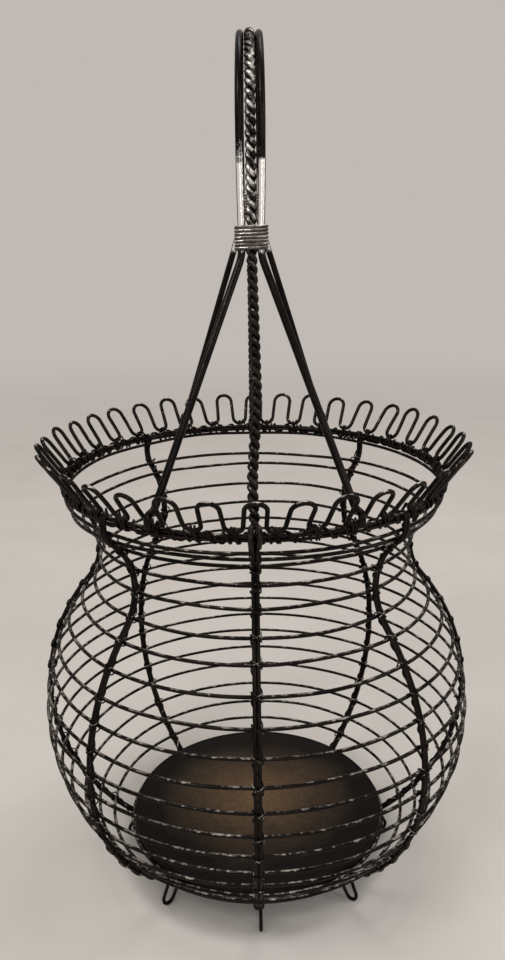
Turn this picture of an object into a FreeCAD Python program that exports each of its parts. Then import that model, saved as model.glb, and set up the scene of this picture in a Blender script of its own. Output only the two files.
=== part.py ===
import FreeCAD, Part
import math
import os

# Egg collection basket, millimetres, +Z up, origin on the floor under the basket's axis.
# -Y is the front.  Every wire is its own solid; wires that lie against each other keep
# a small clearance.

os.makedirs("parts", exist_ok=True)
doc = FreeCAD.newDocument("EggCollectionBasket")
sheet = doc.addObject("Spreadsheet::Sheet", "Dims")

dims = [
    # wire radii and clearances
    ("hoop_wire", 0.95),
    ("rib_wire", 1.0),
    ("rim_wire", 1.2),
    ("crown_wire", 1.1),
    ("lash_wire", 0.45),
    ("rod_wire", 1.8),
    ("twist_wire", 2.6),
    ("wrap_wire", 1.1),
    ("air_gap", 0.05),
    # profile of the cage: four tangent arcs from the base to the lip
    ("belly_z", 103.0),
    ("belly_r", 121.6),
    ("low_arc", 100.2),
    ("low_turn", 56.0),
    ("high_arc", 110.7),
    ("neck_z", 197.0),
    ("neck_arc", 33.8),
    ("neck_turn", 52.7),
    ("lip_arc", 9.6),
    # rim group, which sits slightly out of level, low at the front
    ("rim_z", 239.0),
    ("rim_inset", 0.3),
    ("rim_drop", 3.0),
    ("under_z", 232.75),
    ("under_inset", 0.55),
    ("under_drop", 4.75),
    ("rib_over", 0.9),
    # crown of upright loops
    ("loop_count", 36),
    ("crown_parts", 4),
    ("part_gap", 0.7),
    ("loop_arch", 5.1),
    ("loop_leg", 11.7),
    ("loop_flare", 35.0),
    ("loop_base_r", 106.5),
    ("loop_base_z", 5.6),
    ("ball_over", 0.03),
    ("leg_lift", 0.1),
    # ribs and feet
    ("rib_gap", 0.06),
    ("foot_bend", 4.0),
    ("foot_splay", 28.0),
    ("foot_lean", 35.0),
    ("foot_arc", 4.0),
    ("foot_top", 24.2),
    # base plate
    ("plate_r", 76.45),
    ("plate_low", 18.6),
    ("plate_edge", 24.0),
    ("plate_top", 31.0),
    ("plate_gauge", 0.8),
    # handle
    ("arch_r", 48.0),
    ("arch_z", 409.0),
    ("front_bend_z", 354.0),
    ("rear_bend_z", 374.0),
    ("wrap_height", 11.0),
    ("wrap_rise", 1.5),
    ("rod_gap", 0.1),
    ("hook_turn", 25.0),
    ("hook_r", 105.5),
    ("hook_over", 9.7),
    ("hook_reach", 7.5),
    ("twist_end_r", 99.4),
    ("twist_end_over", 2.5),
]
hoop_heights = [224.0, 218.6, 206.3, 193.7, 180.9, 170.8, 159.0, 146.2, 133.7,
                120.7, 108.1, 95.3, 83.1, 71.0, 59.8, 47.2, 36.8, 28.4]
for index, height in enumerate(hoop_heights):
    dims.append(("hoop_z_%02d" % (index + 1), height))
# Bearings of the ribs, counted from the front; the diagonal ones stand a little
# nearer the front and the back than an even spacing would put them.
rib_bearings = [0.0, 42.0, 90.0, 139.0, 180.0, 221.0, 270.0, 318.0]
for index, bearing in enumerate(rib_bearings):
    dims.append(("bearing_%d" % (index + 1), bearing))
for row, (alias, value) in enumerate(dims):
    sheet.set("A%d" % (row + 1), alias)
    sheet.set("B%d" % (row + 1), str(value))
    sheet.setAlias("B%d" % (row + 1), alias)
doc.recompute()


def num(alias):
    return float(sheet.get(alias))


def bind(obj, **expressions):
    for path, text in expressions.items():
        obj.setExpression(path.replace("__", "."), text)


AXIS_X = FreeCAD.Vector(1, 0, 0)
AXIS_Y = FreeCAD.Vector(0, 1, 0)
AXIS_Z = FreeCAD.Vector(0, 0, 1)
nodes = []


def finish(obj, name):
    obj.Label = name
    nodes.append((name, obj))


# Derived values of the profile, both as expressions and as numbers.
low_cr = "(Dims.belly_r - Dims.low_arc)"
high_cr = "(Dims.belly_r - Dims.high_arc)"
neck_cr = ("(%s + sqrt((Dims.high_arc + Dims.neck_arc)^2"
           " - (Dims.neck_z - Dims.belly_z)^2))" % high_cr)
neck_r = "(Dims.neck_arc + Dims.lip_arc)"
lip_cr = "(%s - %s * cos(Dims.neck_turn * 1 deg))" % (neck_cr, neck_r)
lip_z = "(Dims.neck_z + %s * sin(Dims.neck_turn * 1 deg))" % neck_r
rib_off = "(Dims.hoop_wire + Dims.rib_wire + Dims.air_gap)"

turn = math.radians(num("neck_turn"))
reach = num("high_arc") + num("neck_arc")
rise = num("neck_z") - num("belly_z")
high_cr_v = num("belly_r") - num("high_arc")
neck_cr_v = high_cr_v + math.sqrt(reach ** 2 - rise ** 2)
neck_span = num("neck_arc") + num("lip_arc")
lip_cr_v = neck_cr_v - neck_span * math.cos(turn)
join_angle = math.degrees(math.asin(rise / reach))
join_z = num("belly_z") + num("high_arc") * rise / reach
flare_z = num("neck_z") + num("neck_arc") * math.sin(turn)
lip_r_v = lip_cr_v + num("lip_arc")
rim_r_v = lip_r_v - num("rim_inset")
rim_r = "(%s + Dims.lip_arc - Dims.rim_inset)" % lip_cr


def arc_radius(centre_r, centre_z, arc, height, sign):
    return ("%s %s sqrt(%s^2 - (%s - %s)^2)" % (centre_r, sign, arc, height, centre_z))


def profile_radius(alias):
    height = "Dims." + alias
    value = num(alias)
    if value <= num("belly_z"):
        return arc_radius(low_cr, "Dims.belly_z", "Dims.low_arc", height, "+")
    if value <= join_z:
        return arc_radius(high_cr, "Dims.belly_z", "Dims.high_arc", height, "+")
    if value <= flare_z:
        return arc_radius(neck_cr, "Dims.neck_z", "Dims.neck_arc", height, "-")
    return arc_radius(lip_cr, lip_z, "Dims.lip_arc", height, "+")


def ring(name, radius, wire, height, tilt=0.0):
    obj = doc.addObject("Part::Torus", name)
    obj.Placement.Rotation = FreeCAD.Rotation(AXIS_X, tilt)
    bind(obj, Radius1=radius, Radius2=wire, Placement__Base__z=height)
    finish(obj, name)
    return obj


# Hoops of the cage.
for index in range(len(hoop_heights)):
    alias = "hoop_z_%02d" % (index + 1)
    ring("hoop_%02d" % (index + 1), profile_radius(alias), "Dims.hoop_wire",
         "Dims." + alias)

# Base ring, on the profile at the end of the lower arc.
ring("base_ring", "%s + Dims.low_arc * cos(Dims.low_turn * 1 deg)" % low_cr,
     "Dims.hoop_wire", "Dims.belly_z - Dims.low_arc * sin(Dims.low_turn * 1 deg)")

# Rim wire, the slack wire under it and the tie wire along its inner side.
rim_tilt = math.degrees(math.asin(num("rim_drop") / rim_r_v))
under_r_v = lip_r_v - num("under_inset")
under_tilt = math.degrees(math.asin(num("under_drop") / under_r_v))
ring("rim_ring", rim_r, "Dims.rim_wire", "Dims.rim_z", rim_tilt)
ring("rim_slack_ring", "%s + Dims.lip_arc - Dims.under_inset" % lip_cr,
     "Dims.hoop_wire", "Dims.under_z", under_tilt)
ring("crown_tie", "%s - Dims.rim_wire - Dims.lash_wire - Dims.air_gap" % rim_r,
     "Dims.lash_wire", "Dims.rim_z", rim_tilt)


def arc_piece(name, centre_x, centre_z, arc, wire, start, sweep, shift="0"):
    # Torus sector in the XZ plane, angles counted from +X towards +Z.
    obj = doc.addObject("Part::Torus", name)
    obj.Placement.Rotation = (FreeCAD.Rotation(AXIS_X, 90)
                              * FreeCAD.Rotation(AXIS_Z, start))
    obj.Angle3 = sweep
    bind(obj, Radius1=arc, Radius2=wire, Placement__Base__x=centre_x,
         Placement__Base__y=shift, Placement__Base__z=centre_z)
    return obj


def line_piece(name, start, direction, length, wire):
    obj = doc.addObject("Part::Cylinder", name)
    obj.Placement.Rotation = FreeCAD.Rotation(AXIS_Z, FreeCAD.Vector(*direction))
    bind(obj, Radius=wire, Height=length, Placement__Base__x=start[0],
         Placement__Base__y=start[1], Placement__Base__z=start[2])
    return obj


def ball_piece(name, centre, wire):
    obj = doc.addObject("Part::Sphere", name)
    bind(obj, Radius="%s + Dims.ball_over" % wire, Placement__Base__x=centre[0],
         Placement__Base__y=centre[1], Placement__Base__z=centre[2])
    return obj


def join(name, pieces, placement=None):
    obj = doc.addObject("Part::MultiFuse", name)
    obj.Shapes = pieces
    if placement is not None:
        obj.Placement = placement
    finish(obj, name)
    return obj


def profile_pieces(name, offset, wire, shift, top):
    # The offset profile of one upright wire from the base ring to its top end.
    low = num("low_turn")
    lip = num("neck_turn")
    return [
        arc_piece(name + "_low", low_cr, "Dims.belly_z", "Dims.low_arc + " + offset,
                  wire, -low, low, shift),
        arc_piece(name + "_high", high_cr, "Dims.belly_z", "Dims.high_arc + " + offset,
                  wire, 0, join_angle, shift),
        arc_piece(name + "_neck", neck_cr, "Dims.neck_z", "Dims.neck_arc - " + offset,
                  wire, 180 - lip, lip + join_angle, shift),
        arc_piece(name + "_lip", lip_cr, lip_z, "Dims.lip_arc + " + offset,
                  wire, -lip, lip, shift),
        line_piece(name + "_top", ("%s + Dims.lip_arc + %s" % (lip_cr, offset), shift,
                                   lip_z), (0, 0, 1), "%s - %s" % (top, lip_z), wire),
    ]


# Foot loop of a rib wire, drawn in the rib's own plane: the outer leg splays outwards,
# and the inner leg leans in under the plate.
splay = math.radians(num("foot_splay"))
foot_lean = math.radians(num("foot_lean"))


def foot_pieces(name, shift):
    reach_text = "(Dims.low_arc + %s + Dims.foot_bend)" % rib_off
    bend_cx = "(%s + %s * cos(Dims.low_turn * 1 deg))" % (low_cr, reach_text)
    bend_cz = "(Dims.belly_z - %s * sin(Dims.low_turn * 1 deg))" % reach_text
    leg_sx = "(%s - Dims.foot_bend * cos(Dims.foot_splay * 1 deg))" % bend_cx
    leg_sz = "(%s - Dims.foot_bend * sin(Dims.foot_splay * 1 deg))" % bend_cz
    arc_cz = "(Dims.foot_arc + Dims.rib_wire)"
    length = ("((%s - Dims.foot_arc * sin(Dims.foot_splay * 1 deg) - %s)"
              " / cos(Dims.foot_splay * 1 deg))" % (leg_sz, arc_cz))
    arc_cx = ("(%s + %s * sin(Dims.foot_splay * 1 deg)"
              " - Dims.foot_arc * cos(Dims.foot_splay * 1 deg))" % (leg_sx, length))
    inner_x = "%s - Dims.foot_arc * cos(Dims.foot_lean * 1 deg)" % arc_cx
    inner_z = "(%s - Dims.foot_arc * sin(Dims.foot_lean * 1 deg))" % arc_cz
    return [
        arc_piece(name + "_bend", bend_cx, bend_cz, "Dims.foot_bend", "Dims.rib_wire",
                  180 - num("low_turn"), num("low_turn") + num("foot_splay"), shift),
        line_piece(name + "_outer", (leg_sx, shift, leg_sz),
                   (math.sin(splay), 0, -math.cos(splay)), length, "Dims.rib_wire"),
        arc_piece(name + "_loop", arc_cx, arc_cz, "Dims.foot_arc", "Dims.rib_wire",
                  num("foot_lean") - 180, 180 + num("foot_splay") - num("foot_lean"),
                  shift),
        line_piece(name + "_inner", (inner_x, shift, inner_z),
                   (-math.sin(foot_lean), 0, math.cos(foot_lean)),
                   "(Dims.foot_top - %s) / cos(Dims.foot_lean * 1 deg)" % inner_z,
                   "Dims.rib_wire"),
    ]


# Eight ribs: each is a footed wire and a plain wire side by side, and a tie wire in
# the groove between them.
lash_off = ("(%s + sqrt((Dims.rib_wire + Dims.lash_wire + Dims.air_gap)^2"
            " - (Dims.rib_wire + Dims.rib_gap / 2)^2))" % rib_off)
side = "Dims.rib_wire + Dims.rib_gap / 2"
for index in range(len(rib_bearings)):
    bearing = num("bearing_%d" % (index + 1))
    level = "(Dims.rim_z - Dims.rim_drop * cos(%g * 1 deg))" % bearing
    spin = FreeCAD.Placement(FreeCAD.Vector(0, 0, 0),
                             FreeCAD.Rotation(AXIS_Z, bearing - 90))
    top = "(%s + Dims.rib_over)" % level
    name = "rib_%d_footed" % (index + 1)
    pieces = profile_pieces(name, rib_off, "Dims.rib_wire", side, top)
    join(name, pieces + foot_pieces(name, side), spin)
    name = "rib_%d_plain" % (index + 1)
    join(name, profile_pieces(name, rib_off, "Dims.rib_wire", "-(%s)" % side, top), spin)
    name = "rib_%d_tie" % (index + 1)
    low_top = "(%s - Dims.rim_wire)" % level
    join(name, profile_pieces(name, lash_off, "Dims.lash_wire", "0", low_top), spin)

# Crown: wire bent into upright loops, in four lengths that meet half-way along a low
# bend.  The balls fill the slight change of direction between a leg and a low bend.
flare = math.radians(num("loop_flare"))
loops = int(num("loop_count"))
step = 360.0 / loops
base_r = num("loop_base_r")
arch = num("loop_arch")
half_step = math.radians(step / 2)
bend_gap = base_r * math.sin(half_step) - arch * math.cos(half_step)
bend_mid_r = base_r * math.cos(half_step) + arch * math.sin(half_step)
lean = FreeCAD.Rotation(AXIS_Y, num("loop_flare"))
upright = FreeCAD.Rotation(AXIS_Z, 90) * FreeCAD.Rotation(AXIS_X, 90)


def crown_loop(index):
    # The arch, its two legs and a ball at the foot of each leg.
    name = "loop_%02d" % (index + 1)
    here = FreeCAD.Rotation(AXIS_Z, step * index - 90)
    middle = FreeCAD.Vector(base_r + num("loop_leg") * math.sin(flare), 0,
                            num("loop_base_z") + num("loop_leg") * math.cos(flare))
    top = doc.addObject("Part::Torus", name + "_arch")
    top.Angle3 = 180
    top.Placement = FreeCAD.Placement(here.multVec(middle), here * lean * upright)
    bind(top, Radius1="Dims.loop_arch", Radius2="Dims.crown_wire")
    pieces = [top]
    for sign in (-1, 1):
        foot = here.multVec(FreeCAD.Vector(base_r, sign * arch, num("loop_base_z")))
        lift = (here * lean).multVec(AXIS_Z * num("leg_lift"))
        leg = doc.addObject("Part::Cylinder", "%s_leg%d" % (name, sign + 1))
        leg.Placement = FreeCAD.Placement(foot + lift, here * lean)
        bind(leg, Radius="Dims.crown_wire", Height="Dims.loop_leg - Dims.leg_lift")
        ball = doc.addObject("Part::Sphere", "%s_ball%d" % (name, sign + 1))
        ball.Placement.Base = foot
        bind(ball, Radius="Dims.crown_wire + Dims.ball_over")
        pieces += [leg, ball]
    return pieces


def crown_bend(name, index, start, sweep):
    # The low bend between loop index and the next, from start degrees of its half turn.
    there = FreeCAD.Rotation(AXIS_Z, step * (index + 0.5) - 90)
    low_mid = there.multVec(FreeCAD.Vector(bend_mid_r, 0, num("loop_base_z")))
    under = doc.addObject("Part::Torus", name)
    under.Radius1 = bend_gap
    under.Angle3 = sweep
    turned = FreeCAD.Rotation(AXIS_Z, 180 + start)
    under.Placement = FreeCAD.Placement(low_mid, there * lean * upright * turned)
    bind(under, Radius2="Dims.crown_wire")
    return under


crown_seat = FreeCAD.Placement(FreeCAD.Vector(0, 0, num("rim_z")),
                               FreeCAD.Rotation(AXIS_X, rim_tilt))
part_gap = num("part_gap")
run = loops // int(num("crown_parts"))
for part_index in range(int(num("crown_parts"))):
    first = part_index * run
    name = "crown_wire_%d" % (part_index + 1)
    pieces = [crown_bend(name + "_start", first - 1, 90 + part_gap, 90 - part_gap),
              crown_bend(name + "_end", first + run - 1, 0, 90 - part_gap)]
    for index in range(first, first + run):
        pieces += crown_loop(index)
        if index < first + run - 1:
            pieces.append(crown_bend("bend_%02d" % (index + 1), index, 0, 180))
    join(name, pieces, crown_seat)

# Base plate: a shallow dome with a turned-down skirt.
sag = "(Dims.plate_top - Dims.plate_edge)"
dome_r = "((Dims.plate_r^2 + %s^2) / (2 * %s))" % (sag, sag)
outer_ball = doc.addObject("Part::Sphere", "plate_outer_ball")
bind(outer_ball, Radius=dome_r, Placement__Base__z="Dims.plate_top - " + dome_r)
inner_ball = doc.addObject("Part::Sphere", "plate_inner_ball")
bind(inner_ball, Radius=dome_r + " - Dims.plate_gauge",
     Placement__Base__z="Dims.plate_top - " + dome_r)
shell = doc.addObject("Part::Cut", "plate_shell")
shell.Base = outer_ball
shell.Tool = inner_ball
disc = doc.addObject("Part::Cylinder", "plate_disc")
bind(disc, Radius="Dims.plate_r", Height="Dims.plate_top",
     Placement__Base__z="Dims.plate_low")
dome = doc.addObject("Part::Common", "plate_dome")
dome.Base = shell
dome.Tool = disc
skirt_outer = doc.addObject("Part::Cylinder", "plate_skirt_outer")
bind(skirt_outer, Radius="Dims.plate_r", Placement__Base__z="Dims.plate_low",
     Height="Dims.plate_edge - Dims.plate_low - Dims.plate_gauge / 4")
skirt_inner = doc.addObject("Part::Cylinder", "plate_skirt_inner")
bind(skirt_inner, Radius="Dims.plate_r - Dims.plate_gauge", Height="Dims.plate_top",
     Placement__Base__z="Dims.plate_low - Dims.plate_gauge")
skirt = doc.addObject("Part::Cut", "plate_skirt")
skirt.Base = skirt_outer
skirt.Tool = skirt_inner
join("base_plate", [dome, skirt])

# Handle: two plain rods either side of a twisted rod, arching from front to back.
rod_x = num("twist_wire") + num("rod_wire") + num("rod_gap")
rod_text = "(Dims.twist_wire + Dims.rod_wire + Dims.rod_gap)"


def handle_pieces(name, across, wire, ends, radius_text):
    # across: x of the arch; ends: last points of the front and rear legs.
    sign_text = "0" if across == 0 else ("%d * %s" % (math.copysign(1, across), rod_text))
    top = doc.addObject("Part::Torus", name + "_arch")
    top.Angle3 = 180
    top.Placement.Rotation = (FreeCAD.Rotation(AXIS_Z, 90)
                              * FreeCAD.Rotation(AXIS_X, 90))
    bind(top, Radius1="Dims.arch_r", Radius2=radius_text,
         Placement__Base__x=sign_text, Placement__Base__z="Dims.arch_z")
    pieces = [top]
    for label, sign, bend in (("front", -1, "front_bend_z"), ("rear", 1, "rear_bend_z")):
        place = "%d * Dims.arch_r" % sign
        start = (sign_text, place, "Dims." + bend)
        pieces.append(line_piece("%s_%s_post" % (name, label), start, (0, 0, 1),
                                 "Dims.arch_z - Dims." + bend, radius_text))
        pieces.append(ball_piece("%s_%s_knee" % (name, label), start, radius_text))
        knee = FreeCAD.Vector(across, sign * num("arch_r"), num(bend))
        chain = [knee] + ends[label]
        for step_index in range(len(chain) - 1):
            lead = chain[step_index + 1] - chain[step_index]
            leg = doc.addObject("Part::Cylinder",
                                "%s_%s_leg%d" % (name, label, step_index))
            leg.Height = lead.Length
            leg.Placement = FreeCAD.Placement(chain[step_index],
                                              FreeCAD.Rotation(AXIS_Z, lead))
            bind(leg, Radius=radius_text)
            tip = doc.addObject("Part::Sphere",
                                "%s_%s_tip%d" % (name, label, step_index))
            tip.Placement.Base = chain[step_index + 1]
            bind(tip, Radius=radius_text + " + Dims.ball_over")
            pieces += [leg, tip]
    return pieces


hook = math.radians(num("hook_turn"))
for name, hand in (("handle_rod_left", -1), ("handle_rod_right", 1)):
    ends = {}
    for label, sign in (("front", -1), ("rear", 1)):
        height = (num("rim_z") + num("hook_over")
                  + sign * num("rim_drop") * math.cos(hook))
        points = []
        for radius in (num("hook_r"), num("hook_r") + num("hook_reach")):
            points.append(FreeCAD.Vector(hand * radius * math.sin(hook),
                                         sign * radius * math.cos(hook), height))
        ends[label] = points
    join(name, handle_pieces(name, hand * rod_x, "rod_wire", ends, "Dims.rod_wire"))

ends = {}
for label, sign in (("front", -1), ("rear", 1)):
    height = num("rim_z") + sign * num("rim_drop") + num("twist_end_over")
    ends[label] = [FreeCAD.Vector(0, sign * num("twist_end_r"), height)]
join("handle_twist", handle_pieces("handle_twist", 0, "twist_wire", ends,
                                   "Dims.twist_wire"))


def binding(name, sign, bend):
    # Band round the three rods; the wire turns of it are drawn as one sleeve.
    wide = "(2 * (%s + Dims.rod_wire + Dims.rod_gap))" % rod_text
    deep = "(2 * (Dims.twist_wire + Dims.rod_gap))"
    low_z = "Dims.%s + Dims.wrap_rise" % bend
    outer = doc.addObject("Part::Box", name + "_outer")
    bind(outer, Length=wide + " + 2 * Dims.wrap_wire",
         Width=deep + " + 2 * Dims.wrap_wire", Height="Dims.wrap_height",
         Placement__Base__x="-%s / 2 - Dims.wrap_wire" % wide,
         Placement__Base__y="%d * Dims.arch_r - %s / 2 - Dims.wrap_wire" % (sign, deep),
         Placement__Base__z=low_z)
    inner = doc.addObject("Part::Box", name + "_inner")
    bind(inner, Length=wide, Width=deep, Height="Dims.wrap_height + 2",
         Placement__Base__x="-%s / 2" % wide,
         Placement__Base__y="%d * Dims.arch_r - %s / 2" % (sign, deep),
         Placement__Base__z=low_z + " - 1")
    band = doc.addObject("Part::Cut", name)
    band.Base = outer
    band.Tool = inner
    finish(band, name)


binding("handle_binding_front", -1, "front_bend_z")
binding("handle_binding_rear", 1, "rear_bend_z")

doc.recompute()
for obj in doc.Objects:
    for flag in obj.State:
        if flag in ("Invalid", "Error"):
            raise RuntimeError("%s is %s" % (obj.Name, flag))
for name, obj in nodes:
    if obj.Shape.isNull() or not obj.Shape.isValid():
        raise RuntimeError("%s has no valid shape" % name)
    if len(obj.Shape.Solids) != 1:
        raise RuntimeError("%s has %d solids" % (name, len(obj.Shape.Solids)))
    obj.Shape.exportStep("parts/%s.step" % name)
    box = obj.Shape.BoundBox
    print(name, round(obj.Shape.Volume, 1), [round(v, 1) for v in (
        box.XMin, box.XMax, box.YMin, box.YMax, box.ZMin, box.ZMax)])
print("nodes", len(nodes))
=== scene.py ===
import math
import random

import bpy
import numpy as np
from mathutils import Matrix, Vector


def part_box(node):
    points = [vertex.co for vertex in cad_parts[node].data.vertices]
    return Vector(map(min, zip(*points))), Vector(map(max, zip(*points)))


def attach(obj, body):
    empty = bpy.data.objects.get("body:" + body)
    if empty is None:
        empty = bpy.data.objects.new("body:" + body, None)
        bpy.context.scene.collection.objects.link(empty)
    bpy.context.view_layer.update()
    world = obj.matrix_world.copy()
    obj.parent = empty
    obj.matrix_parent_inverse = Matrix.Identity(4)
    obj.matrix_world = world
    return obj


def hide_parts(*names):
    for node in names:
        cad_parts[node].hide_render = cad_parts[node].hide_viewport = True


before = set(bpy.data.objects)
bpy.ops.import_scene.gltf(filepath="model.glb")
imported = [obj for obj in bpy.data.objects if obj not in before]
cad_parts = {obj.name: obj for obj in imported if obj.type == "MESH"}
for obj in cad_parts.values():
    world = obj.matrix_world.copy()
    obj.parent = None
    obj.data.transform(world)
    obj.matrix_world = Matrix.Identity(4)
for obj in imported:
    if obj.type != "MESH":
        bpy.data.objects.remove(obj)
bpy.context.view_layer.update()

random.seed(11)
MM = 0.001
TAU = 2 * math.pi

# Sizes in millimetres, the same as the CAD model's.
HOOP_WIRE = 0.95
RIB_WIRE = 1.0
RIM_WIRE = 1.2
CROWN_WIRE = 1.1
TIE_WIRE = 0.42
ROD_WIRE = 1.8
BELLY_Z = 103.0
BELLY_R = 121.6
LOW_ARC = 100.2
LOW_TURN = 56.0
HIGH_ARC = 110.7
NECK_Z = 197.0
NECK_ARC = 33.8
NECK_TURN = 52.7
LIP_ARC = 9.6
RIM_Z = 239.0
RIM_DROP = 3.0
SLACK_Z = 232.75
SLACK_DROP = 4.75
LOOPS = 36
FLARE = math.radians(35)
FOOT_SPLAY = math.radians(28)
FOOT_LEAN = math.radians(35)
FOOT_BEND = 4.0
FOOT_LOOP = 4.0
FOOT_END_Z = 24.0
BEARINGS = [math.radians(turn) for turn in (0, 42, 90, 139, 180, 221, 270, 318)]

low_cr = BELLY_R - LOW_ARC
high_cr = BELLY_R - HIGH_ARC
neck_cr = high_cr + math.sqrt((HIGH_ARC + NECK_ARC) ** 2 - (NECK_Z - BELLY_Z) ** 2)
join_turn = math.degrees(math.asin((NECK_Z - BELLY_Z) / (HIGH_ARC + NECK_ARC)))
lip_cr = neck_cr - (NECK_ARC + LIP_ARC) * math.cos(math.radians(NECK_TURN))
lip_z = NECK_Z + (NECK_ARC + LIP_ARC) * math.sin(math.radians(NECK_TURN))
RIM_R = lip_cr + LIP_ARC - 0.3
RIM_TILT = math.asin(RIM_DROP / RIM_R)
SLACK_R = lip_cr + LIP_ARC - 0.55
SLACK_TILT = math.asin(SLACK_DROP / SLACK_R)


def arc(cx, cz, radius, start, end, step=3.0):
    count = max(2, int(abs(end - start) / step) + 1)
    turns = np.radians(np.linspace(start, end, count))
    return [(cx + radius * math.cos(t), cz + radius * math.sin(t)) for t in turns]


def profile(offset, top):
    """(r, z) along the side of the cage, moved outwards by offset."""
    path = arc(low_cr, BELLY_Z, LOW_ARC + offset, -LOW_TURN, 0)
    path += arc(high_cr, BELLY_Z, HIGH_ARC + offset, 0, join_turn)[1:]
    path += arc(neck_cr, NECK_Z, NECK_ARC - offset, 180 + join_turn, 180 - NECK_TURN,
                4)[1:]
    path += arc(lip_cr, lip_z, LIP_ARC + offset, -NECK_TURN, 0, 8)[1:]
    path.append((lip_cr + LIP_ARC + offset, top))
    return path


def foot_path(offset):
    """(r, z) of the loop that a rib wire makes below the base, from the rib down."""
    low = math.radians(LOW_TURN)
    reach = LOW_ARC + offset + FOOT_BEND
    bend_r = low_cr + reach * math.cos(low)
    bend_z = BELLY_Z - reach * math.sin(low)
    path = arc(bend_r, bend_z, FOOT_BEND, 180 - LOW_TURN, 180 + math.degrees(FOOT_SPLAY), 8)
    leg_r, leg_z = path[-1]
    drop = leg_z - FOOT_LOOP * math.sin(FOOT_SPLAY) - FOOT_LOOP - RIB_WIRE
    length = drop / math.cos(FOOT_SPLAY)
    loop_r = leg_r + length * math.sin(FOOT_SPLAY) - FOOT_LOOP * math.cos(FOOT_SPLAY)
    loop_z = FOOT_LOOP + RIB_WIRE
    path += arc(loop_r, loop_z, FOOT_LOOP, math.degrees(FOOT_SPLAY),
                math.degrees(FOOT_LEAN) - 180, 10)
    last_r, last_z = path[-1]
    path.append((last_r - (FOOT_END_Z - last_z) * math.tan(FOOT_LEAN), FOOT_END_Z))
    return path


# ---------------------------------------------------------------- mesh helpers

def mesh_object(name, verts, faces, material, replaced=()):
    mesh = bpy.data.meshes.new(name)
    mesh.from_pydata([tuple(v) for v in (np.asarray(verts) * MM)], [], faces)
    mesh.validate()
    mesh.polygons.foreach_set("use_smooth", [True] * len(mesh.polygons))
    mesh.materials.append(material)
    obj = bpy.data.objects.new(name, mesh)
    bpy.context.scene.collection.objects.link(obj)
    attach(obj, "root")
    if replaced:
        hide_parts(*replaced)
    return obj


def frames_along(points, closed):
    """Turn-free frames along a path, closed up evenly on a ring."""
    points = np.asarray(points, float)
    if closed:
        tangents = np.roll(points, -1, 0) - np.roll(points, 1, 0)
    else:
        tangents = np.gradient(points, axis=0)
    tangents /= np.linalg.norm(tangents, axis=1)[:, None]
    seed = np.array([0.0, 0.0, 1.0])
    if abs(tangents[0] @ seed) > 0.9:
        seed = np.array([1.0, 0.0, 0.0])
    normal = seed - tangents[0] * (seed @ tangents[0])
    normals = [normal / np.linalg.norm(normal)]
    for t in tangents[1:]:
        n = normals[-1] - t * (normals[-1] @ t)
        normals.append(n / np.linalg.norm(n))
    normals = np.array(normals)
    binormals = np.cross(tangents, normals)
    if closed:
        t = tangents[0]
        n = normals[-1] - t * (normals[-1] @ t)
        twist = math.atan2(n @ binormals[0], n @ normals[0])
        turn = np.linspace(0, -twist, len(points))[:, None]
        mixed = normals * np.cos(turn) + binormals * np.sin(turn)
        binormals = np.cross(tangents, mixed)
        normals = mixed
    return points, tangents, normals, binormals


END_OUT = 0.35
END_NARROW = 0.62


def tube_data(points, radius, closed=False, sides=10, start=0):
    """Vertices and faces of a round wire along a path, with rounded ends."""
    points, tangents, normals, binormals = frames_along(points, closed)
    radii = np.broadcast_to(np.asarray(radius, float), (len(points),)).copy()
    if not closed:
        head = points[0] - tangents[0] * radii[0] * END_OUT
        tail = points[-1] + tangents[-1] * radii[-1] * END_OUT
        points = np.vstack([head, points, tail])
        normals = np.vstack([normals[0], normals, normals[-1]])
        binormals = np.vstack([binormals[0], binormals, binormals[-1]])
        radii = np.concatenate([[radii[0] * END_NARROW], radii, [radii[-1] * END_NARROW]])
    angle = np.linspace(0, TAU, sides, endpoint=False)
    ring = (normals[:, None, :] * np.cos(angle)[None, :, None]
            + binormals[:, None, :] * np.sin(angle)[None, :, None])
    verts = (points[:, None, :] + ring * radii[:, None, None]).reshape(-1, 3)
    faces = []
    count = len(points)
    for i in range(count if closed else count - 1):
        a = start + i * sides
        b = start + ((i + 1) % count) * sides
        for j in range(sides):
            k = (j + 1) % sides
            faces.append((a + j, a + k, b + k, b + j))
    if not closed:
        faces.append(tuple(start + j for j in reversed(range(sides))))
        faces.append(tuple(start + (count - 1) * sides + j for j in range(sides)))
    return verts, faces


def tube(name, points, radius, material, replaced=(), closed=False, sides=10):
    verts, faces = tube_data(points, radius, closed, sides)
    return mesh_object(name, verts, faces, material, replaced)


def tubes(name, paths, radius, material, replaced=(), sides=8):
    """Several wires as one piece; each path is (points, closed)."""
    verts = []
    faces = []
    for points, closed in paths:
        v, f = tube_data(points, radius, closed, sides, sum(len(x) for x in verts))
        verts.append(v)
        faces += f
    return mesh_object(name, np.vstack(verts), faces, material, replaced)


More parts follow.
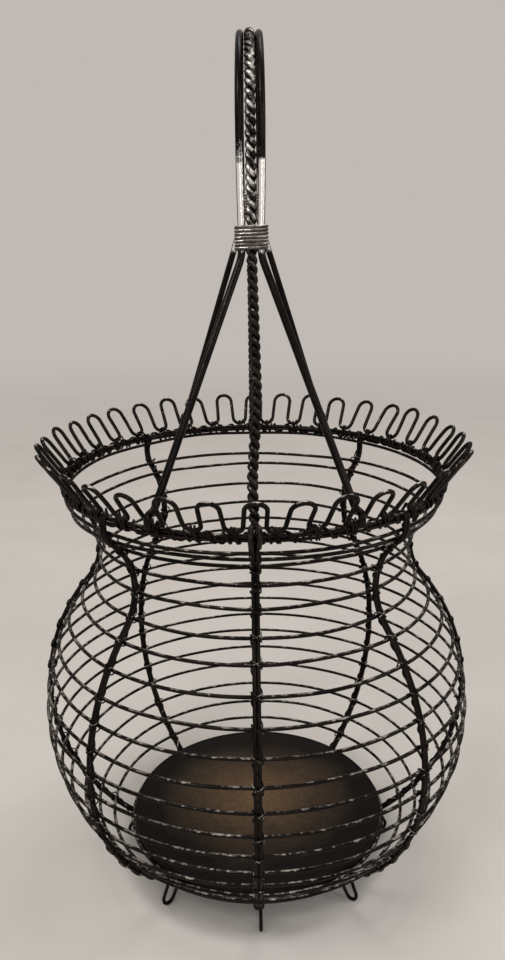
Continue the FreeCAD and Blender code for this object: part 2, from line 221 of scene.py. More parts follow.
def rounded(points, radii, step=math.radians(7)):
    """A path through points with its corners turned into arcs of the given radii."""
    points = [np.asarray(p, float) for p in points]
    out = [points[0]]
    for i in range(1, len(points) - 1):
        a = points[i - 1] - points[i]
        b = points[i + 1] - points[i]
        la = np.linalg.norm(a)
        lb = np.linalg.norm(b)
        a /= la
        b /= lb
        inner = math.acos(max(-1, min(1, a @ b)))
        turn = math.pi - inner
        if turn < 0.01:
            out.append(points[i])
            continue
        back = min(radii[i - 1] * math.tan(turn / 2), la * 0.48, lb * 0.48)
        radius = back / math.tan(turn / 2)
        centre = points[i] + (a + b) / np.linalg.norm(a + b) * radius / math.cos(turn / 2)
        p = points[i] + a * back - centre
        q = points[i] + b * back - centre
        count = max(2, int(turn / step) + 1)
        for t in np.linspace(0, 1, count):
            out.append(centre + (p * math.sin((1 - t) * turn) + q * math.sin(t * turn))
                       / math.sin(turn))
    out.append(points[-1])
    return np.array(out)


def resample(points, spacing):
    points = np.asarray(points, float)
    steps = np.linalg.norm(np.diff(points, axis=0), axis=1)
    along = np.concatenate([[0], np.cumsum(steps)])
    count = max(2, int(along[-1] / spacing) + 1)
    at = np.linspace(0, along[-1], count)
    return np.array([np.interp(at, along, points[:, i]) for i in range(3)]).T, at


def tilt(points, angle, height):
    """Turns points about X and lifts them, as the rim's own frame sits."""
    points = np.asarray(points, float)
    c = math.cos(angle)
    s = math.sin(angle)
    x = points[:, 0]
    y = points[:, 1] * c - points[:, 2] * s
    z = points[:, 1] * s + points[:, 2] * c + height
    return np.stack([x, y, z], 1)


def radial(bearing):
    return np.array([math.sin(bearing), -math.cos(bearing), 0.0])


def sideways(bearing):
    return np.array([math.cos(bearing), math.sin(bearing), 0.0])


# ------------------------------------------------------------------- materials

def new_material(name):
    material = bpy.data.materials.new(name)
    material.use_nodes = True
    nodes = material.node_tree.nodes
    links = material.node_tree.links
    nodes.clear()
    out = nodes.new("ShaderNodeOutputMaterial")
    shader = nodes.new("ShaderNodeBsdfPrincipled")
    links.new(shader.outputs["BSDF"], out.inputs["Surface"])
    return material, nodes, links, shader


def noise(nodes, links, coords, scale, detail, rough=0.55):
    node = nodes.new("ShaderNodeTexNoise")
    node.inputs["Scale"].default_value = scale
    node.inputs["Detail"].default_value = detail
    node.inputs["Roughness"].default_value = rough
    links.new(coords, node.inputs["Vector"])
    return node.outputs["Fac"]


def ramp(nodes, links, fac, stops):
    node = nodes.new("ShaderNodeValToRGB")
    items = node.color_ramp.elements
    while len(items) < len(stops):
        items.new(0.5)
    for item, (at, colour) in zip(items, stops):
        item.position = at
        item.color = (*colour, 1)
    links.new(fac, node.inputs["Fac"])
    return node.outputs["Color"]


def feed(links, socket, value):
    """Sets a socket to a number or a colour, or links another socket to it."""
    if isinstance(value, (int, float)):
        socket.default_value = value
    elif isinstance(value, tuple):
        socket.default_value = (*value, 1)
    else:
        links.new(value, socket)


def math_node(nodes, links, kind, a, b):
    node = nodes.new("ShaderNodeMath")
    node.operation = kind
    for socket, value in zip(node.inputs, (a, b)):
        feed(links, socket, value)
    return node.outputs[0]


def mix_colour(nodes, links, fac, a, b, blend="MIX"):
    node = nodes.new("ShaderNodeMix")
    node.data_type = "RGBA"
    node.blend_type = blend
    sockets = [s for s in node.inputs if s.type == "RGBA"]
    for socket, value in zip(sockets, (a, b)):
        feed(links, socket, value)
    feed(links, node.inputs[0], fac)
    return [s for s in node.outputs if s.type == "RGBA"][0]


def add_bump(nodes, links, shader, height, strength, distance):
    bump = nodes.new("ShaderNodeBump")
    bump.inputs["Strength"].default_value = strength
    bump.inputs["Distance"].default_value = distance
    links.new(height, bump.inputs["Height"])
    links.new(bump.outputs["Normal"], shader.inputs["Normal"])


def smooth_band(nodes, links, value, low, high, gain=1.0):
    """Rises smoothly from 0 to gain as value goes from low to high."""
    band = nodes.new("ShaderNodeMapRange")
    band.interpolation_type = "SMOOTHSTEP"
    band.inputs["From Min"].default_value = low
    band.inputs["From Max"].default_value = high
    band.inputs["To Max"].default_value = gain
    links.new(value, band.inputs["Value"])
    return band.outputs["Result"]


def wire_material(name, dark, brown, bare_metal_and_highlight, wear_and_highlight_start, rough=(0.24, 0.46), up_highlight=0.35,
                  highlight_bands=None, front_highlight_facing=None, soft=0.12, fade=1.0):
    """Oxidised iron wire: dark scale, brown patches, and a pale colour that is partly
    bare metal where it is worn and partly painted highlight. The pale colour starts at
    the fourth argument and is full at that plus soft; fade curves it in between. The
    up-face term adds painted highlight to faces that look up; the turned-face term keeps
    the pale colour to faces turned front and back, a painted highlight down the wire's
    middle. Height bands, each (low, high, gain), raise or lower the pale colour by gain
    between two heights in metres, a painted highlight along the handle wires."""
    material, nodes, links, shader = new_material(name)
    coords = nodes.new("ShaderNodeTexCoord").outputs["Object"]
    patches = noise(nodes, links, coords, 90, 5)
    fine = noise(nodes, links, coords, 900, 6, 0.6)
    worn = noise(nodes, links, coords, 210, 5, 0.65)
    base = ramp(nodes, links, patches, [(0.35, dark), (0.68, brown)])
    normal = nodes.new("ShaderNodeNewGeometry").outputs["Normal"]
    split = nodes.new("ShaderNodeSeparateXYZ")
    links.new(normal, split.inputs[0])
    # Painted highlight: faces that look up get more of the pale colour.
    up = math_node(nodes, links, "MULTIPLY", split.outputs["Z"], up_highlight)
    wear_and_highlight_amount = math_node(nodes, links, "ADD", worn, up)
    wear_and_highlight_amount = math_node(nodes, links, "ADD", wear_and_highlight_amount,
                       math_node(nodes, links, "MULTIPLY", fine, 0.22))
    # Painted highlight: height bands make the pale colour stronger or weaker along the
    # handle wires.
    if highlight_bands:
        height = nodes.new("ShaderNodeSeparateXYZ")
        links.new(coords, height.inputs[0])
        for low, high, gain in highlight_bands:
            band = smooth_band(nodes, links, height.outputs["Z"], low, high, gain)
            wear_and_highlight_amount = math_node(nodes, links, "ADD", wear_and_highlight_amount, band)
    wear_and_highlight_mask = ramp(nodes, links, wear_and_highlight_amount, [(wear_and_highlight_start, (0, 0, 0)), (wear_and_highlight_start + soft, (1, 1, 1))])
    # Painted highlight: the pale colour is kept to faces turned to the front and the back.
    if front_highlight_facing:
        front_highlight_mask = math_node(nodes, links, "ABSOLUTE", split.outputs["Y"], 0.0)
        front_highlight_mask = ramp(nodes, links, front_highlight_mask, [(front_highlight_facing - 0.12, (0, 0, 0)),
                                             (front_highlight_facing + 0.08, (1, 1, 1))])
        wear_and_highlight_mask = math_node(nodes, links, "MULTIPLY", wear_and_highlight_mask, front_highlight_mask)
    wear_and_highlight_mask = math_node(nodes, links, "POWER", wear_and_highlight_mask, fade)
    colour = mix_colour(nodes, links, wear_and_highlight_mask, base, bare_metal_and_highlight)
    links.new(colour, shader.inputs["Base Color"])
    shader.inputs["Metallic"].default_value = 0.6
    shader.inputs["Specular Tint"].default_value = (0.35, 0.33, 0.31, 1)
    glossy, dull = rough
    rough_mix = ramp(nodes, links, fine, [(0.3, (glossy,) * 3), (0.75, (dull,) * 3)])
    links.new(rough_mix, shader.inputs["Roughness"])
    add_bump(nodes, links, shader, fine, 0.35, 0.00025)
    return material


# Each wire's pale colour is partly bare metal and partly painted highlight on its upward
# faces; the handle rods and twist also get painted highlight on faces turned front and back
# and in height bands.
BLACK = (0.0035, 0.0030, 0.0026)
HOOP = wire_material("hoop_iron", BLACK, (0.013, 0.0095, 0.0075), (0.36, 0.33, 0.30), 0.86,
                     up_highlight=0.3, soft=0.4, fade=1.5)
RIB = wire_material("rib_iron", BLACK, (0.012, 0.009, 0.007), (0.40, 0.37, 0.33), 1.0)
TIE = wire_material("tie_iron", BLACK, (0.016, 0.012, 0.009), (0.48, 0.44, 0.40), 0.91)
LASHING = wire_material("lashing_iron", BLACK, (0.018, 0.013, 0.010),
                        (0.38, 0.34, 0.30), 1.02)
CROWN = wire_material("crown_iron", BLACK, (0.016, 0.012, 0.010), (0.45, 0.42, 0.38), 0.93,
                      rough=(0.18, 0.38))
# Painted highlight on the handle: pale on faces turned front and back, and stronger or
# weaker in height bands.
ROD = wire_material("handle_iron", BLACK, (0.012, 0.010, 0.009), (0.85, 0.83, 0.80), 0.80,
                    rough=(0.16, 0.32), up_highlight=0.0, front_highlight_facing=0.62, soft=0.9, fade=1.6,
                    highlight_bands=[(0.352, 0.364, 1.05), (0.370, 0.412, -1.10)])
TWIST = wire_material("twist_iron", BLACK, (0.03, 0.026, 0.022), (0.80, 0.77, 0.73), 0.78,
                      rough=(0.18, 0.36), up_highlight=0.12, front_highlight_facing=0.66,
                      soft=0.26, highlight_bands=[(0.33, 0.38, 0.25), (0.40, 0.46, -0.07)])
WRAP = wire_material("binding_steel", (0.05, 0.045, 0.04), (0.14, 0.125, 0.11),
                     (0.72, 0.69, 0.64), 0.72, rough=(0.2, 0.4))


def plate_material():
    """Dark brown sheet with fine speckle, a painted highlight in the middle and painted
    shade towards the edge.
    """
    material, nodes, links, shader = new_material("plate_iron")
    coords = nodes.new("ShaderNodeTexCoord").outputs["Object"]
    cloud = noise(nodes, links, coords, 26, 5)
    grain = noise(nodes, links, coords, 420, 6, 0.7)
    speck = noise(nodes, links, coords, 1500, 3, 0.7)
    length = nodes.new("ShaderNodeVectorMath")
    length.operation = "LENGTH"
    flat = nodes.new("ShaderNodeVectorMath")
    flat.operation = "MULTIPLY"
    flat.inputs[1].default_value = (1, 1, 0)
    links.new(coords, flat.inputs[0])
    links.new(flat.outputs[0], length.inputs[0])
    # Painted highlight and painted shade: lighter brown in the middle, darkening to near
    # black towards the edge.
    painted_highlight_falloff = math_node(nodes, links, "MULTIPLY", length.outputs["Value"], 11.0)
    painted_highlight_falloff = math_node(nodes, links, "ADD", painted_highlight_falloff,
                    math_node(nodes, links, "MULTIPLY", cloud, 0.35))
    tone = ramp(nodes, links, painted_highlight_falloff, [(0.2, (0.135, 0.086, 0.048)),
                                    (0.52, (0.062, 0.041, 0.026)),
                                    (0.86, (0.0075, 0.0065, 0.0058))])
    dots = ramp(nodes, links, grain, [(0.36, (0.7, 0.7, 0.7)), (0.68, (1.3, 1.28, 1.25))])
    colour = mix_colour(nodes, links, 1.0, tone, dots, "MULTIPLY")
    links.new(colour, shader.inputs["Base Color"])
    shader.inputs["Metallic"].default_value = 0.05
    shader.inputs["Specular IOR Level"].default_value = 0.06
    rough_mix = ramp(nodes, links, grain, [(0.3, (0.45,) * 3), (0.7, (0.62,) * 3)])
    links.new(rough_mix, shader.inputs["Roughness"])
    grit = math_node(nodes, links, "ADD", grain, speck)
    add_bump(nodes, links, shader, grit, 0.25, 0.0003)
    return material


PLATE = plate_material()

# ------------------------------------------------------------------------ cage

HOOP_Z = [224.0, 218.6, 206.3, 193.7, 180.9, 170.8, 159.0, 146.2, 133.7,
          120.7, 108.1, 95.3, 83.1, 71.0, 59.8, 47.2, 36.8, 28.4]


def hoop_path(radius, height, sag, flat):
    """A ring that is held at the eight ribs. Between them it droops or rises by up to
    sag, and bows inwards by up to flat."""
    points = []
    for start, end in zip(BEARINGS, BEARINGS[1:] + [TAU]):
        droop = random.uniform(-sag, sag)
        inward = random.uniform(-flat, flat * 0.3)
        for t in np.linspace(0, 1, 24, endpoint=False):
            bow = math.sin(math.pi * t) ** 2
            at = radial(start + (end - start) * t) * (radius + inward * bow)
            points.append(at + np.array([0, 0, height + droop * bow]))
    return np.array(points)


hoop_at = []
for index, height in enumerate(HOOP_Z):
    node = "hoop_%02d" % (index + 1)
    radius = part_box(node)[1].x / MM - HOOP_WIRE
    hoop_at.append((radius, height))
    tube(node + "_wire", hoop_path(radius, height, 0.7, 0.5), HOOP_WIRE, HOOP,
         [node], closed=True)
base_low, base_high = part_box("base_ring")
base_r = base_high.x / MM - HOOP_WIRE
base_z = (base_low.z + base_high.z) / 2 / MM
tube("base_ring_wire", hoop_path(base_r, base_z, 0.1, 0.1), HOOP_WIRE, HOOP,
     ["base_ring"], closed=True)
tube("rim_ring_wire", tilt(hoop_path(RIM_R, 0, 0.15, 0.2), RIM_TILT, RIM_Z), RIM_WIRE,
     HOOP, ["rim_ring"], closed=True, sides=12)
tube("rim_slack_wire", tilt(hoop_path(SLACK_R, 0, 0.9, 0.6), SLACK_TILT, SLACK_Z),
     HOOP_WIRE, HOOP, ["rim_slack_ring"], closed=True)

# Ribs: a footed wire and a plain wire side by side. Wound wire lies LOOSE or SNUG.
LOOSE = 0.05
SNUG = 0.02
RIB_OFF = HOOP_WIRE + RIB_WIRE + LOOSE
RIB_HALF = RIB_WIRE + 0.03


def level(bearing):
    """Height of the rim at a bearing."""
    return RIM_Z - RIM_DROP * math.cos(bearing)


def in_plane(path, bearing, shift):
    """An (r, z) path stood up at a bearing and moved sideways by shift."""
    out = radial(bearing)
    side = sideways(bearing)
    return np.array([out * r + side * shift + np.array([0, 0, z]) for r, z in path])


def profile_frame(height, offset):
    """Point of the offset profile that carries the hoop at this height, and its
    outward direction, both as (r, z)."""
    if height <= BELLY_Z:
        s = (height - BELLY_Z) / LOW_ARC
        c = math.sqrt(1 - s * s)
        return (low_cr + (LOW_ARC + offset) * c, BELLY_Z + (LOW_ARC + offset) * s), (c, s)
    join_z = BELLY_Z + HIGH_ARC * math.sin(math.radians(join_turn))
    if height <= join_z:
        s = (height - BELLY_Z) / HIGH_ARC
        c = math.sqrt(1 - s * s)
        return (high_cr + (HIGH_ARC + offset) * c,
                BELLY_Z + (HIGH_ARC + offset) * s), (c, s)
    if height <= NECK_Z + NECK_ARC * math.sin(math.radians(NECK_TURN)):
        s = (height - NECK_Z) / NECK_ARC
        c = math.sqrt(1 - s * s)
        arm = NECK_ARC - offset
        return (neck_cr - arm * c, NECK_Z + arm * s), (c, -s)
    s = min(0.0, (height - lip_z) / LIP_ARC)
    c = math.sqrt(1 - s * s)
    return (lip_cr + (LIP_ARC + offset) * c,
            max(height, lip_z + (LIP_ARC + offset) * s)), (c, s)


def rib_tie(bearing, top):
    """Tie wire wound down a rib, one long slanting turn over each hoop."""
    out = radial(bearing)
    side = sideways(bearing)
    steps = 20
    under_rim = 1.5
    clear_of_rim = 4
    slant = 0.11
    heights = [top - under_rim] + [h for h in HOOP_Z if h < top - clear_of_rim]
    heights.append(base_z + 1.0)
    points = []
    for a, b in zip(heights[:-1], heights[1:]):
        for i in range(steps):
            t = i / steps
            turn = TAU * t
            height = a + (b - a) * (t + slant * math.sin(turn + math.pi))
            (r, z), (nr, nz) = profile_frame(height, RIB_OFF)
            across = -math.sin(turn) * (2 * RIB_WIRE + TIE_WIRE + LOOSE)
            depth = math.cos(turn) * (RIB_WIRE + TIE_WIRE + SNUG)
            points.append(out * (r + nr * depth) + side * across
                          + np.array([0, 0, z + nz * depth]))
    return np.array(points)


def swell(value, power):
    """A sine or cosine with its curve made squarer, sign kept."""
    return math.copysign(abs(value) ** power, value)


def crossing_tie(bearing, height):
    """A slanting loop of tie wire that holds one hoop to one rib."""
    out = radial(bearing)
    side = sideways(bearing)
    (r, z), (nr, nz) = profile_frame(height, RIB_OFF)
    steps = 24
    square = 0.7
    back_slope = 0.6
    mid = -HOOP_WIRE
    deep = RIB_WIRE + HOOP_WIRE + TIE_WIRE + LOOSE
    wide = 2 * (RIB_WIRE + LOOSE) + TIE_WIRE
    slope = random.uniform(0.55, 1.0)
    points = []
    for i in range(steps):
        turn = TAU * i / steps
        across = swell(math.sin(turn), square) * wide
        depth = mid + swell(math.cos(turn), square) * deep
        rise = -across * slope
        if math.cos(turn) <= -0.2:
            rise *= back_slope
        points.append(out * (r + nr * depth - nz * rise) + side * across
                      + np.array([0, 0, z + nz * depth + nr * rise]))
    return np.array(points)


for index, bearing in enumerate(BEARINGS):
    top = level(bearing) + 0.9
    footed = list(reversed(foot_path(RIB_OFF))) + profile(RIB_OFF, top)[1:]
    number = index + 1
    wires = [("footed", footed, RIB_HALF), ("plain", profile(RIB_OFF, top), -RIB_HALF)]
    for kind, path, shift in wires:
        path3 = in_plane(path, bearing, shift)
        tube("rib_%d_%s_wire" % (number, kind), path3, RIB_WIRE, RIB,
             ["rib_%d_%s" % (number, kind)])
    paths = [(rib_tie(bearing, level(bearing)), False)]
    for radius, height in hoop_at:
        paths.append((crossing_tie(bearing, height), True))
    tubes("rib_%d_tie_wire" % number, paths, TIE_WIRE, TIE,
          ["rib_%d_tie" % number], sides=6)

# ----------------------------------------------------------------------- crown

LEG = 11.7
ARCH = 5.1
SEAT_R = 106.5
SEAT_Z = 5.6
HALF_PITCH = math.pi / LOOPS
BEND = SEAT_R * math.sin(HALF_PITCH) - ARCH * math.cos(HALF_PITCH)


def crown_path():
    """One wire bent into upright loops round the rim, none quite like the next."""
    path = []
    for k in range(LOOPS):
        bearing = TAU * k / LOOPS
        out = radial(bearing)
        side = sideways(bearing)
        wide = ARCH + random.uniform(-0.35, 0.35)
        tall = LEG + random.uniform(-0.9, 0.9)
        lean = random.uniform(-0.9, 0.9)
        flare = FLARE + math.radians(random.uniform(-3, 3))
        flat = []
        for t in np.linspace(-90, 0, 7)[:-1]:
            a = math.radians(t)
            flat.append((-(ARCH + BEND) + BEND * math.cos(a), BEND * math.sin(a)))
        for t in np.linspace(0, 1, 5)[:-1]:
            flat.append((-(ARCH + (wide - ARCH) * t) + lean * t, tall * t))
        for t in np.linspace(180, 0, 15):
            a = math.radians(t)
            flat.append((wide * math.cos(a) + lean, tall + wide * math.sin(a)))
        for t in np.linspace(1, 0, 5)[1:]:
            flat.append(((ARCH + (wide - ARCH) * t) + lean * t, tall * t))
        for t in np.linspace(180, 270, 7)[1:-1]:
            a = math.radians(t)
            flat.append((ARCH + BEND + BEND * math.cos(a), BEND * math.sin(a)))
        for u, h in flat:
            curl = FLARE if h < 0 else FLARE + (flare - FLARE) * min(1, h / LEG)
            r = SEAT_R + h * math.sin(curl)
            z = SEAT_Z + h * math.cos(curl)
            # Past the legs the wire curves in with the rim, so neighbours meet.
            shrink = math.sqrt(max(0.0, 1 - (max(0, abs(u) - ARCH) / r) ** 2))
            path.append(out * r * shrink + side * u + np.array([0, 0, z]))
    return tilt(path, RIM_TILT, RIM_Z)


tube("crown_loops", crown_path(), CROWN_WIRE, CROWN,
     ["crown_wire_%d" % number for number in range(1, 5)], closed=True, sides=10)

RIM_TIE = 0.55
PACKING_WIRE = 0.8
TIE_STEPS = 12
BEND_LOW = 2.35
BEND_REACH = 3.2
BEND_OUT = 0.3
BEND_FOOT = 1.5
SLACK_ROOM = 1.6
INNER_ROOM = 1.3


def rim_tie(turns, start, wander):
    """Tie wire wound round the rim and the slack wire, and over the low bends of the
    crown, with this many turns to each loop."""
    points = []
    steps = turns * TIE_STEPS
    bottom = -(RIM_WIRE + SLACK_ROOM + RIM_TIE)
    for k in range(LOOPS):
        drift = start + wander * math.sin(5 * TAU * k / LOOPS)
        for i in range(steps):
            t = i / steps
            angle = TAU * t * turns + drift
            place = t - 0.06 * math.sin(TAU * t)
            bearing = TAU * (k + 0.5 + place) / LOOPS
            gap = min(place, 1 - place) * TAU * RIM_R / LOOPS
            top = RIM_WIRE + RIM_TIE
            if gap < BEND_REACH:
                climb = BEND - math.sqrt(max(0.0, BEND ** 2 - gap ** 2))
                top = BEND_LOW + climb + CROWN_WIRE + RIM_TIE
            mid = (top + bottom) / 2
            z = mid + (top - bottom) / 2 * math.cos(angle)
            reach = RIM_WIRE + RIM_TIE + (LOOSE if math.sin(angle) > 0 else INNER_ROOM)
            out = BEND_OUT if z > BEND_FOOT else 0.0
            r = RIM_R + out + math.sin(angle) * reach
            points.append(radial(bearing) * r + np.array([0, 0, z]))
    return tilt(points, RIM_TILT, RIM_Z)


def rim_packing(degrees, wander):
    """A wire laid along the rim inside the winding, at an angle round the rim wire."""
    points = []
    steps = 240
    angle = math.radians(degrees)
    arm = RIM_WIRE + PACKING_WIRE + LOOSE
    for i in range(steps):
        bearing = TAU * i / steps
        at = angle + wander * math.sin(5 * bearing + angle) + 0.3 * math.sin(13 * bearing)
        points.append(radial(bearing) * (RIM_R + arm * math.cos(at))
                      + np.array([0, 0, arm * math.sin(at)]))
    return tilt(points, RIM_TILT, RIM_Z)


tubes("crown_tie_wire", [(rim_tie(3, 0.0, 0.5), True), (rim_tie(2, 1.9, 0.9), True)],
      RIM_TIE, LASHING, ["crown_tie"], sides=7)
tubes("rim_packing_wires", [(rim_packing(215, 0.25), True), (rim_packing(282, 0.2), True)],
      PACKING_WIRE, LASHING, sides=8)

# ------------------------------------------------------------------ base plate

PLATE_R = 76.45
PLATE_TOP = 31.0
PLATE_RISE = 6.3
PLATE_GAUGE = 0.8
DENT_R = 50
DENT_REACH = 30
DENT_EDGE = 76


def dent(r, bearing):
    """How far the sheet stands above a true dome, most of all near DENT_R."""
    ripple = 0.22 * math.sin(3 * bearing + 0.4) + 0.12 * math.sin(7 * bearing)
    return ripple * (r / DENT_EDGE) ** 2 * max(0, 1 - abs(r - DENT_R) / DENT_REACH)


def lathe(name, path, material, replaced, segments=160):
    """Turns a closed (r, z) outline about Z, with the plate's shallow dents."""
    verts = []
    faces = []
    count = len(path)
    for i in range(segments):
        bearing = TAU * i / segments
        for r, z in path:
            verts.append(radial(bearing) * r + np.array([0, 0, z + dent(r, bearing)]))
    for i in range(segments):
        a = i * count
        b = ((i + 1) % segments) * count
        for j in range(count):
            k = (j + 1) % count
            faces.append((a + j, b + j, b + k, a + k))
    return mesh_object(name, verts, faces, material, replaced)


def plate_path():
    """Outline of the domed sheet, its rounded shoulder and the bead at its lower edge."""
    dome_r = PLATE_R - 1.6
    dome = []
    for r in np.linspace(0.05, dome_r, 26):
        dome.append((r, PLATE_TOP - PLATE_RISE * (r / dome_r) ** 2))
    shoulder = arc(PLATE_R - 1.5, 23.3, 1.5, 80, 0, 16)
    bead = arc(PLATE_R - 1.0, 19.4, 0.95, 40, -220, 22)
    inside = [(PLATE_R - 0.85, 22.6), (PLATE_R - 2.0, 23.7)]
    back = [(r, z - PLATE_GAUGE) for r, z in reversed(dome[:-1])]
    return dome + shoulder + bead + inside + back


lathe("plate_sheet", plate_path(), PLATE, ["base_plate"])

# ---------------------------------------------------------------------- handle

ROD_X = 4.5
ARCH_R = 48.0
ARCH_Z = 409.0
BEND_Z = {-1: 354.0, 1: 374.0}
HOOK = math.radians(25)
HOOK_RISE = 9.7
KNEE_UP = np.array([0, 0, 12.0])
KNEE_CLEAR = 13
ROD_BENDS = [2.2, 2.4, 14]
TWIST_RISE = 2.5
TWIST_WIRE = 1.3
TWIST_ARM = 1.32
TWIST_PITCH = 9.2
TAIL_BENDS = [2.6, 2.6, 3]


def up(height):
    return np.array([0, 0, height])


def knee(across, sign):
    """Where a handle wire leaves its binding, at the front (-1) or the rear (1)."""
    return np.array([across, sign * ARCH_R, BEND_Z[sign]])


def arch_points(across, spread=0.0):
    """Posts and arch of one handle wire above its knees, front to rear. The spread
    bows it outwards halfway up."""
    points = []
    for t in np.linspace(0, 1, 8)[:-1]:
        z = BEND_Z[-1] + (ARCH_Z - BEND_Z[-1]) * t
        points.append(np.array([across, -ARCH_R, z]))
    for degrees in np.linspace(180, 0, 45):
        t = math.radians(degrees)
        points.append(np.array([across, ARCH_R * math.cos(t),
                                ARCH_Z + ARCH_R * math.sin(t)]))
    for t in np.linspace(1, 0, 8)[1:]:
        z = BEND_Z[1] + (ARCH_Z - BEND_Z[1]) * t
        points.append(np.array([across, ARCH_R, z]))
    low = BEND_Z[-1] + 14
    for p in points:
        lift = max(0.0, min(1.0, (p[2] - low) / (ARCH_Z + ARCH_R - low)))
        p[0] += math.copysign(spread * math.sin(math.pi * lift) ** 0.8, across)
    return [p for p in points if p[2] > BEND_Z[-1 if p[1] < 0 else 1] + KNEE_CLEAR]


def rod_path(hand):
    """A plain rod, from the hook over the front of the rim to the one at the rear."""
    hooks = {}
    for sign in (-1, 1):
        height = RIM_Z + HOOK_RISE + sign * RIM_DROP * math.cos(HOOK)
        out = np.array([hand * math.sin(HOOK), sign * math.cos(HOOK), 0])
        inner = out * 105.5 + up(height)
        outer = out * 111.6 + up(height - 1.0)
        tip = out * 111.0 + up(height - 6.5)
        hooks[sign] = [tip, outer, inner]
    knee_f = knee(hand * ROD_X, -1)
    knee_r = knee(hand * ROD_X, 1)
    front = rounded(hooks[-1] + [knee_f, knee_f + KNEE_UP], ROD_BENDS)
    rear = rounded([knee_r + KNEE_UP, knee_r] + hooks[1][::-1], ROD_BENDS[::-1])
    path = np.vstack([front, arch_points(hand * ROD_X, 0.6), rear])
    return resample(path, 1.6)[0]


for name, hand in (("handle_rod_left", -1), ("handle_rod_right", 1)):
    tube(name + "_wire", rod_path(hand), ROD_WIRE, ROD, [name], sides=14)


def twist_core():
    """Centre line of the twisted pair. It bends a little below its front knee."""
    ends = {}
    for sign in (-1, 1):
        ends[sign] = np.array([0, sign * 99.4, RIM_Z + sign * RIM_DROP + TWIST_RISE])
    knee_f = knee(0, -1)
    knee_r = knee(0, 1)
    mid_f = knee_f * 0.45 + ends[-1] * 0.55 + np.array([1.6, 0, 0])
    low_f = knee_f * 0.16 + ends[-1] * 0.84 + np.array([-1.0, 0, 0])
    front = rounded([ends[-1], low_f, mid_f, knee_f, knee_f + KNEE_UP], [60, 90, 18])
    rear = rounded([knee_r + KNEE_UP, knee_r, ends[1]], [18])
    return np.vstack([front, arch_points(0), rear])


def tail_points(hand, sign):
    """One strand's way over the rim and down outside it."""
    rim = RIM_Z + sign * RIM_DROP
    side = hand * 1.9
    over = np.array([side, sign * 104.0, rim + 4.6])
    down = np.array([side * 1.1, sign * 108.6, rim + 1.0])
    tip = np.array([side * 0.8, sign * 107.6, rim - 5.0 + hand])
    return [over, down, tip]


def twist_paths():
    """Two wires twisted left-handed, each with a tail hooked over the rim."""
    core, along = resample(twist_core(), 0.6)
    points, tangents, normals, binormals = frames_along(core, False)
    paths = []
    for which, hand in enumerate((-1, 1)):
        turn = -TAU * along / TWIST_PITCH + math.pi * which
        strand = points + (normals * np.cos(turn)[:, None]
                           + binormals * np.sin(turn)[:, None]) * TWIST_ARM
        head = rounded(tail_points(hand, -1)[::-1] + [strand[0], strand[3]], TAIL_BENDS)
        tail = rounded([strand[-4], strand[-1]] + tail_points(hand, 1), TAIL_BENDS[::-1])
        paths.append((np.vstack([head, strand[4:-4], tail]), False))
    return paths


tubes("handle_twist_wires", twist_paths(), TWIST_WIRE, TWIST,
      ["handle_twist"], sides=10)

BINDING_WIRE = 0.8
BINDING_TURNS = 7
BINDING_PITCH = 1.56


def binding_path(sign):
    """A wire coiled round the three rods, as a flattened helix."""
    steps = 40
    low = BEND_Z[sign] + 1.6 + BINDING_WIRE
    wide = ROD_X + ROD_WIRE + BINDING_WIRE + LOOSE
    deep = 2 * TWIST_WIRE + LOOSE + BINDING_WIRE
    points = []
    for i in range(BINDING_TURNS * steps + 1):
        t = i / steps
        x = swell(math.cos(TAU * t), 0.55) * wide
        y = swell(math.sin(TAU * t), 0.75) * deep
        points.append((x, sign * ARCH_R + y, low + t * BINDING_PITCH))
    return np.array(points)


for name, sign in (("handle_binding_front", -1), ("handle_binding_rear", 1)):
    tube(name + "_coil", binding_path(sign), BINDING_WIRE, WRAP, [name],
         sides=10)

# ------------------------------------------------------------- stage and light

BACKDROP = (0.53, 0.49, 0.458)
FLOOR_HALF = 6.0
FADE_START = 0.5
FADE_END = 2.6


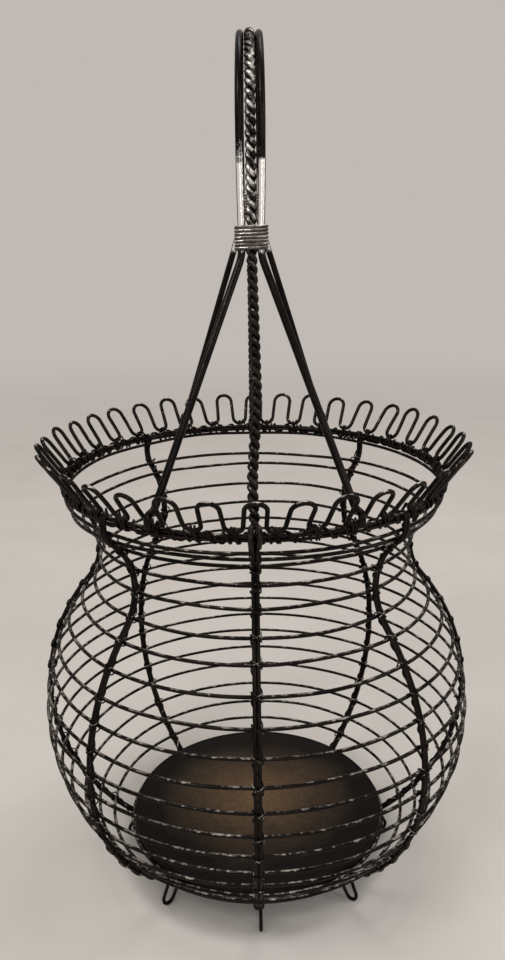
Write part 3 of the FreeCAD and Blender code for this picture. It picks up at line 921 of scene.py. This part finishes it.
def stage_floor():
    mesh = bpy.data.meshes.new("stage_floor")
    corners = [(-1, -1), (1, -1), (1, 1), (-1, 1)]
    mesh.from_pydata([(x * FLOOR_HALF, y * FLOOR_HALF, 0) for x, y in corners], [],
                     [(0, 1, 2, 3)])
    floor = bpy.data.objects.new("stage_floor", mesh)
    bpy.context.scene.collection.objects.link(floor)
    material, nodes, links, shader = new_material("floor_paint")
    out = material.node_tree.get_output_node("ALL")
    coords = nodes.new("ShaderNodeTexCoord").outputs["Object"]
    tone = noise(nodes, links, coords, 5, 6, 0.6)
    links.new(ramp(nodes, links, tone, [(0.3, (0.58, 0.555, 0.525)),
                                        (0.7, (0.66, 0.635, 0.605))]),
              shader.inputs["Base Color"])
    shader.inputs["Roughness"].default_value = 0.7
    # Far from the object the floor fades into the backdrop's colour.
    glow = nodes.new("ShaderNodeEmission")
    glow.inputs["Color"].default_value = (*BACKDROP, 1)
    away = nodes.new("ShaderNodeVectorMath")
    away.operation = "LENGTH"
    links.new(coords, away.inputs[0])
    fade = smooth_band(nodes, links, away.outputs["Value"], FADE_START, FADE_END)
    blend = nodes.new("ShaderNodeMixShader")
    links.new(fade, blend.inputs[0])
    links.new(shader.outputs["BSDF"], blend.inputs[1])
    links.new(glow.outputs["Emission"], blend.inputs[2])
    links.new(blend.outputs["Shader"], out.inputs["Surface"])
    mesh.materials.append(material)


stage_floor()


def area_light(name, place, target, size, power, colour):
    data = bpy.data.lights.new(name, "AREA")
    data.shape = "RECTANGLE"
    data.size, data.size_y = size
    data.energy = power
    data.color = colour
    obj = bpy.data.objects.new(name, data)
    bpy.context.scene.collection.objects.link(obj)
    obj.location = place
    direction = Vector(target) - Vector(place)
    obj.rotation_euler = direction.to_track_quat("-Z", "Y").to_euler()


area_light("key", (-0.7, -0.9, 1.7), (0, 0, 0.15), (0.7, 0.5), 11, (1.0, 0.98, 0.95))
area_light("top", (0.3, 0.5, 1.9), (0, 0, 0.1), (0.9, 0.6), 7, (1.0, 0.99, 0.97))
area_light("front", (0.2, -1.5, 0.8), (0, 0, 0.3), (0.3, 0.9), 4, (1.0, 0.99, 0.98))
area_light("side", (1.5, -0.5, 0.9), (0, 0, 0.25), (0.35, 0.9), 5, (0.97, 0.98, 1.0))

world = bpy.data.worlds.new("studio")
world.use_nodes = True
world.node_tree.nodes["Background"].inputs["Color"].default_value = (*BACKDROP, 1)
world.node_tree.nodes["Background"].inputs["Strength"].default_value = 1.0
bpy.context.scene.world = world
bpy.context.scene.view_settings.view_transform = "Standard"

# Camera at the photograph's height and distance, looking down a little.
CAMERA_PLACE = (-0.0008, -0.4409, 0.3555)
CAMERA_LENS = 30.65
CAMERA_DOWN = 15.54
CAMERA_ROLL = -0.66

camera_data = bpy.data.cameras.new("camera")
camera_data.sensor_width = 36.0
camera_data.lens = CAMERA_LENS
camera = bpy.data.objects.new("camera", camera_data)
bpy.context.scene.collection.objects.link(camera)
camera.location = CAMERA_PLACE
aim = Matrix.Rotation(math.radians(90 - CAMERA_DOWN), 4, "X")
roll = Matrix.Rotation(math.radians(CAMERA_ROLL), 4, "Z")
camera.matrix_world = Matrix.Translation(CAMERA_PLACE) @ aim @ roll
bpy.context.scene.camera = camera
